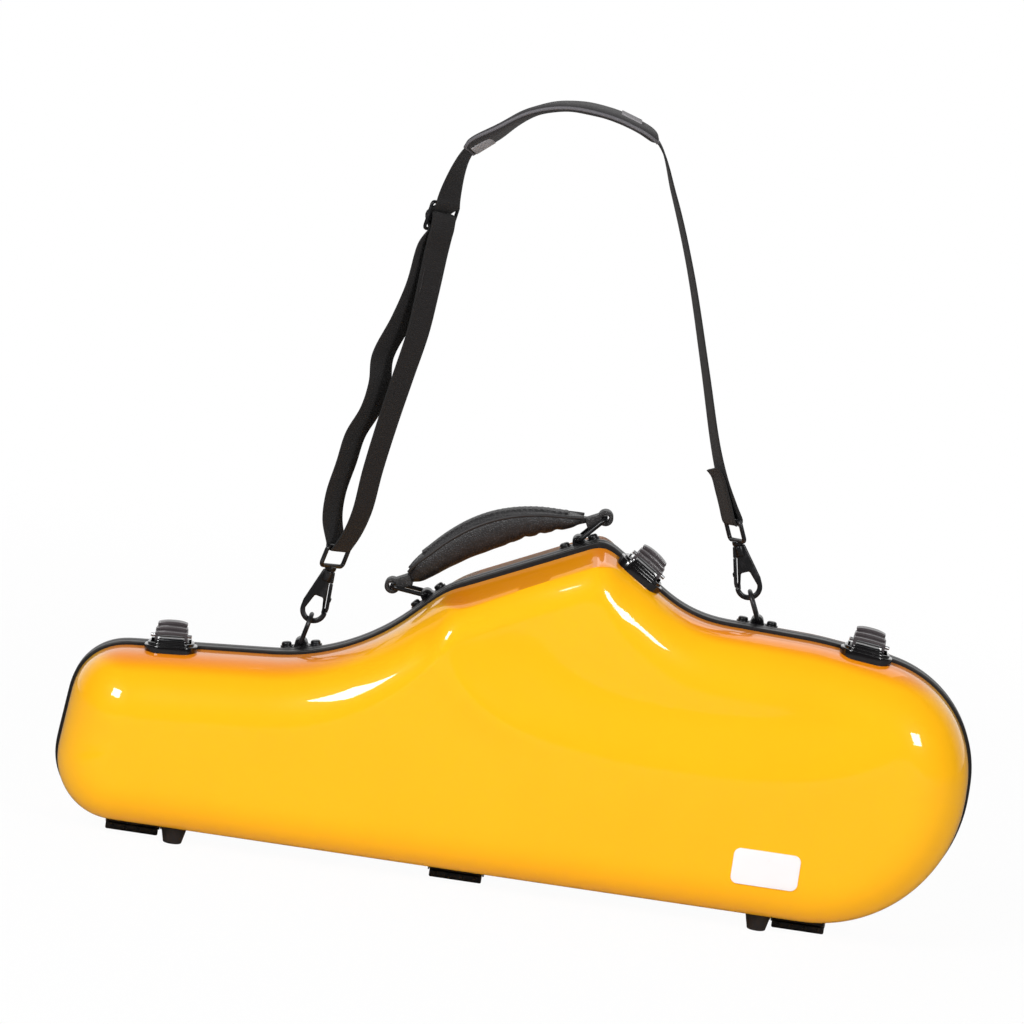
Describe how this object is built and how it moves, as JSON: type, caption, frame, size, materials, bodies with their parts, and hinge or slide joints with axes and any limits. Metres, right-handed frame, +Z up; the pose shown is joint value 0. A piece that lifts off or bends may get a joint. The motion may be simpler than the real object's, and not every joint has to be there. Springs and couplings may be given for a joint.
{
  "type": "alto saxophone case",
  "caption": "Moulded glossy wind-instrument case that opens along its bottom edge, with draw latches, a padded carrying handle and a shoulder strap on snap hooks.",
  "frame": {"origin": "on the floor below the middle of the whole object's box, under the feet", "axes": "+X along the case towards the end with the bell, +Y from the lid towards the base, +Z up"},
  "size_m": [0.6552, 0.163, 0.5656],
  "materials": {
    "gelcoat": "gloss",
    "seam_trim": "satin",
    "plush": "matte",
    "rubber": "matte",
    "steel": "satin",
    "black_metal": "satin",
    "latch_black": "gloss",
    "leather": "satin",
    "webbing": "matte",
    "pad_cloth": "matte",
    "badge": "satin"
  },
  "bodies": {
    "base": {"rear_shell": "gelcoat", "rear_seam_trim": "seam_trim", "rear_lining": "plush", "rear_foot_left": "rubber", "rear_foot_right": "rubber", "hinge_left_rear_leaf": "black_metal", "hinge_middle_rear_leaf": "black_metal", "hinge_right_rear_leaf": "black_metal", "hinge_left_pin": "steel", "hinge_middle_pin": "steel", "hinge_right_pin": "steel", "latch_left_keeper": "black_metal", "latch_middle_keeper": "black_metal", "latch_right_keeper": "black_metal", "handle_bracket_left": "black_metal", "handle_bracket_right": "black_metal", "strap_anchor_left": "black_metal", "strap_anchor_right": "black_metal", "strap_ring_left": "black_metal", "strap_ring_right": "black_metal"},
    "lid": {"front_shell": "gelcoat", "front_seam_trim": "seam_trim", "front_lining": "plush", "front_foot_left": "rubber", "front_foot_right": "rubber", "badge_plate": "badge", "hinge_left_front_leaf": "black_metal", "hinge_middle_front_leaf": "black_metal", "hinge_right_front_leaf": "black_metal", "latch_left_base": "latch_black", "latch_middle_base": "latch_black", "latch_right_base": "latch_black", "latch_left_pin": "steel", "latch_middle_pin": "steel", "latch_right_pin": "steel"},
    "latch_left_lever": {"latch_left_lever": "latch_black"},
    "latch_left_claw": {"latch_left_claw": "black_metal"},
    "latch_middle_lever": {"latch_middle_lever": "latch_black"},
    "latch_middle_claw": {"latch_middle_claw": "black_metal"},
    "latch_right_lever": {"latch_right_lever": "latch_black"},
    "latch_right_claw": {"latch_right_claw": "black_metal"},
    "handle_link_left": {"handle_link_left": "black_metal"},
    "handle_link_right": {"handle_link_right": "black_metal"},
    "handle_grip": {"handle_grip": "leather", "handle_stitched_strip": "leather", "handle_lobe_left": "leather", "handle_lobe_right": "leather"},
    "strap": {"strap_webbing": "webbing", "strap_slider": "black_metal", "shoulder_pad": "pad_cloth", "hook_left_eye": "black_metal", "hook_right_eye": "black_metal"},
    "hook_left": {"hook_left_body": "black_metal"},
    "hook_left_gate": {"hook_left_gate": "black_metal"},
    "hook_right": {"hook_right_body": "black_metal"},
    "hook_right_gate": {"hook_right_gate": "black_metal"}
  },
  "joints": [
    {"name": "lid_hinge", "type": "hinge", "parent": "base", "child": "lid", "pos_m": [-0.00112, -0.01345, 0.0042], "axis": [1, 0, 0], "range_deg": [0, 150]},
    {"name": "latch_left_lever_pivot", "type": "hinge", "parent": "lid", "child": "latch_left_lever", "pos_m": [-0.25543, -0.03145, 0.1469], "axis": [0.9967, 0, 0.0807], "range_deg": [0, 90]},
    {"name": "latch_left_claw_pivot", "type": "hinge", "parent": "latch_left_lever", "child": "latch_left_claw", "pos_m": [-0.25509, -0.03115, 0.14271], "axis": [0.9967, 0, 0.0807], "range_deg": [-90, 0]},
    {"name": "latch_middle_lever_pivot", "type": "hinge", "parent": "lid", "child": "latch_middle_lever", "pos_m": [0.07492, -0.03145, 0.24861], "axis": [0.8346, 0, -0.5509], "range_deg": [0, 90]},
    {"name": "latch_middle_claw_pivot", "type": "hinge", "parent": "latch_middle_lever", "child": "latch_middle_claw", "pos_m": [0.0726, -0.03115, 0.24511], "axis": [0.8346, 0, -0.5509], "range_deg": [-90, 0]},
    {"name": "latch_right_lever_pivot", "type": "hinge", "parent": "lid", "child": "latch_right_lever", "pos_m": [0.23923, -0.03145, 0.21586], "axis": [0.9934, 0, -0.1151], "range_deg": [0, 90]},
    {"name": "latch_right_claw_pivot", "type": "hinge", "parent": "latch_right_lever", "child": "latch_right_claw", "pos_m": [0.23875, -0.03115, 0.21169], "axis": [0.9934, 0, -0.1151], "range_deg": [-90, 0]},
    {"name": "handle_left_link_pivot", "type": "hinge", "parent": "base", "child": "handle_link_left", "pos_m": [-0.07965, 0.00154, 0.19882], "axis": [0, -1, 0], "range_deg": [0, 20]},
    {"name": "handle_grip_pivot", "type": "hinge", "parent": "handle_link_left", "child": "handle_grip", "pos_m": [-0.10451, 0.00154, 0.20144], "axis": [0, -1, 0], "range_deg": [-16, 1]},
    {"name": "handle_right_link_pivot", "type": "hinge", "parent": "base", "child": "handle_link_right", "pos_m": [0.0229, 0.00154, 0.25393], "axis": [0, -1, 0], "range_deg": [-1, 21]},
    {"name": "strap_swing", "type": "hinge", "parent": "base", "child": "strap", "pos_m": [-0.00338, 0.00154, 0.1942], "axis": [0.98, 0, 0.1991], "range_deg": [-35, 35]},
    {"name": "hook_left_swivel", "type": "hinge", "parent": "strap", "child": "hook_left", "pos_m": [-0.15893, 0.00154, 0.17139], "axis": [0.2334, 0, 0.9724], "range_deg": [-10, 10]},
    {"name": "hook_left_gate_pivot", "type": "hinge", "parent": "hook_left", "child": "hook_left_gate", "pos_m": [-0.1482, 0.00154, 0.19422], "axis": [0, -1, 0], "range_deg": [0, 17], "stiffness_Nm_per_rad": 0.02, "springref_deg": -5.73},
    {"name": "hook_right_swivel", "type": "hinge", "parent": "strap", "child": "hook_right", "pos_m": [0.15049, 0.00154, 0.23494], "axis": [-0.3778, 0, 0.9259], "range_deg": [-10, 10]},
    {"name": "hook_right_gate_pivot", "type": "hinge", "parent": "hook_right", "child": "hook_right_gate", "pos_m": [0.13642, 0.00154, 0.25587], "axis": [0, 1, 0], "range_deg": [0, 17], "stiffness_Nm_per_rad": 0.02, "springref_deg": -5.73}
  ],
  "couplings": [
    {"joint": "latch_left_claw_pivot", "follows": "latch_left_lever_pivot", "ratio": -0.93},
    {"joint": "latch_middle_claw_pivot", "follows": "latch_middle_lever_pivot", "ratio": -0.93},
    {"joint": "latch_right_claw_pivot", "follows": "latch_right_lever_pivot", "ratio": -0.93},
    {"joint": "handle_grip_pivot", "follows": "handle_left_link_pivot", "ratio": -0.72},
    {"joint": "handle_right_link_pivot", "follows": "handle_left_link_pivot", "ratio": 1}
  ]
}
